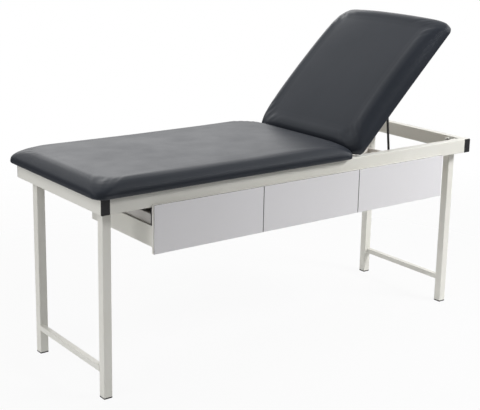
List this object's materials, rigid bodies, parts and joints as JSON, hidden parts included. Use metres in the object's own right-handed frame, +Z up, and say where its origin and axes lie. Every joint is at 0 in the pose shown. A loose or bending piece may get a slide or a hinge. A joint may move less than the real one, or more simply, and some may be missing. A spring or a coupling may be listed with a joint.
{
  "type": "treatment couch",
  "caption": "Flat treatment couch on a square-tube steel frame with a raising backrest held by a notched prop and a row of hanging drawers along one side.",
  "frame": {"origin": "plan centre of the couch's box with the backrest at rest, on the floor under the feet", "axes": "+X towards the head end with the backrest, -Y towards the drawer side, +Z up"},
  "size_m": [1.911, 0.704, 1.3128],
  "materials": {
    "upholstery": "charcoal vinyl-coated upholstery cloth, satin, fine grain",
    "plywood": "sanded plywood, unfinished",
    "cream_steel": "off-white powder coat, satin",
    "black_steel": "black powder coat, satin",
    "zinc_steel": "bright zinc plate",
    "fascia_board": "board faced in light grey melamine, satin",
    "box_board": "board faced in pale grey foil, satin",
    "black_plastic": "moulded black plastic"
  },
  "bodies": {
    "frame": {"carriage_brackets": "black_steel", "carriage_channel": "cream_steel", "carriage_hangers": "cream_steel", "carriage_side_plates": "cream_steel", "cross_tube_foot": "cream_steel", "cross_tube_hinge": "cream_steel", "cross_tube_middle": "cream_steel", "end_rail_foot": "cream_steel", "end_rail_head": "cream_steel", "fixed_runners_1": "zinc_steel", "fixed_runners_2": "zinc_steel", "fixed_runners_3": "zinc_steel", "foot_plugs": "black_plastic", "hinge_frame_leaves": "zinc_steel", "hinge_pins": "zinc_steel", "leg_bolts": "zinc_steel", "leg_foot_far": "cream_steel", "leg_foot_near": "cream_steel", "leg_head_far": "cream_steel", "leg_head_near": "cream_steel", "prop_bushes": "black_plastic", "rail_end_caps": "black_plastic", "seat_board": "plywood", "seat_bolts": "zinc_steel", "seat_pad": "upholstery", "side_rail_far": "cream_steel", "side_rail_near": "cream_steel", "stretcher_foot": "cream_steel", "stretcher_head": "cream_steel"},
    "backrest": {"backrest_board": "plywood", "backrest_pad": "upholstery", "hinge_backrest_leaves": "zinc_steel", "prop_racks": "black_steel"},
    "prop": {"prop_bail": "black_steel"},
    "drawer_1": {"drawer_bottom_1": "box_board", "drawer_ends_1": "box_board", "drawer_fascia_1": "fascia_board", "drawer_sides_1": "box_board", "moving_runners_1": "zinc_steel"},
    "drawer_2": {"drawer_bottom_2": "box_board", "drawer_ends_2": "box_board", "drawer_fascia_2": "fascia_board", "drawer_sides_2": "box_board", "moving_runners_2": "zinc_steel"},
    "drawer_3": {"drawer_bottom_3": "box_board", "drawer_ends_3": "box_board", "drawer_fascia_3": "fascia_board", "drawer_sides_3": "box_board", "moving_runners_3": "zinc_steel"}
  },
  "joints": [
    {"name": "backrest_tilt", "type": "hinge", "parent": "frame", "child": "backrest", "pos_m": [0.2925, 0, 0.7712], "axis": [0, -1, 0], "range_deg": [-44.3, 10.7]},
    {"name": "prop_swing", "type": "hinge", "parent": "frame", "child": "prop", "pos_m": [0.5125, 0, 0.742], "axis": [0, -1, 0], "range_deg": [-95.5, 23.5]},
    {"name": "drawer_1_slide", "type": "slide", "parent": "frame", "child": "drawer_1", "axis": [0, -1, 0], "range_m": [0, 0.3]},
    {"name": "drawer_2_slide", "type": "slide", "parent": "frame", "child": "drawer_2", "axis": [0, -1, 0], "range_m": [0, 0.3]},
    {"name": "drawer_3_slide", "type": "slide", "parent": "frame", "child": "drawer_3", "axis": [0, -1, 0], "range_m": [0, 0.3]}
  ],
  "couplings": [
    {"joint": "prop_swing", "follows": "backrest_tilt", "ratio": 2.15}
  ]
}
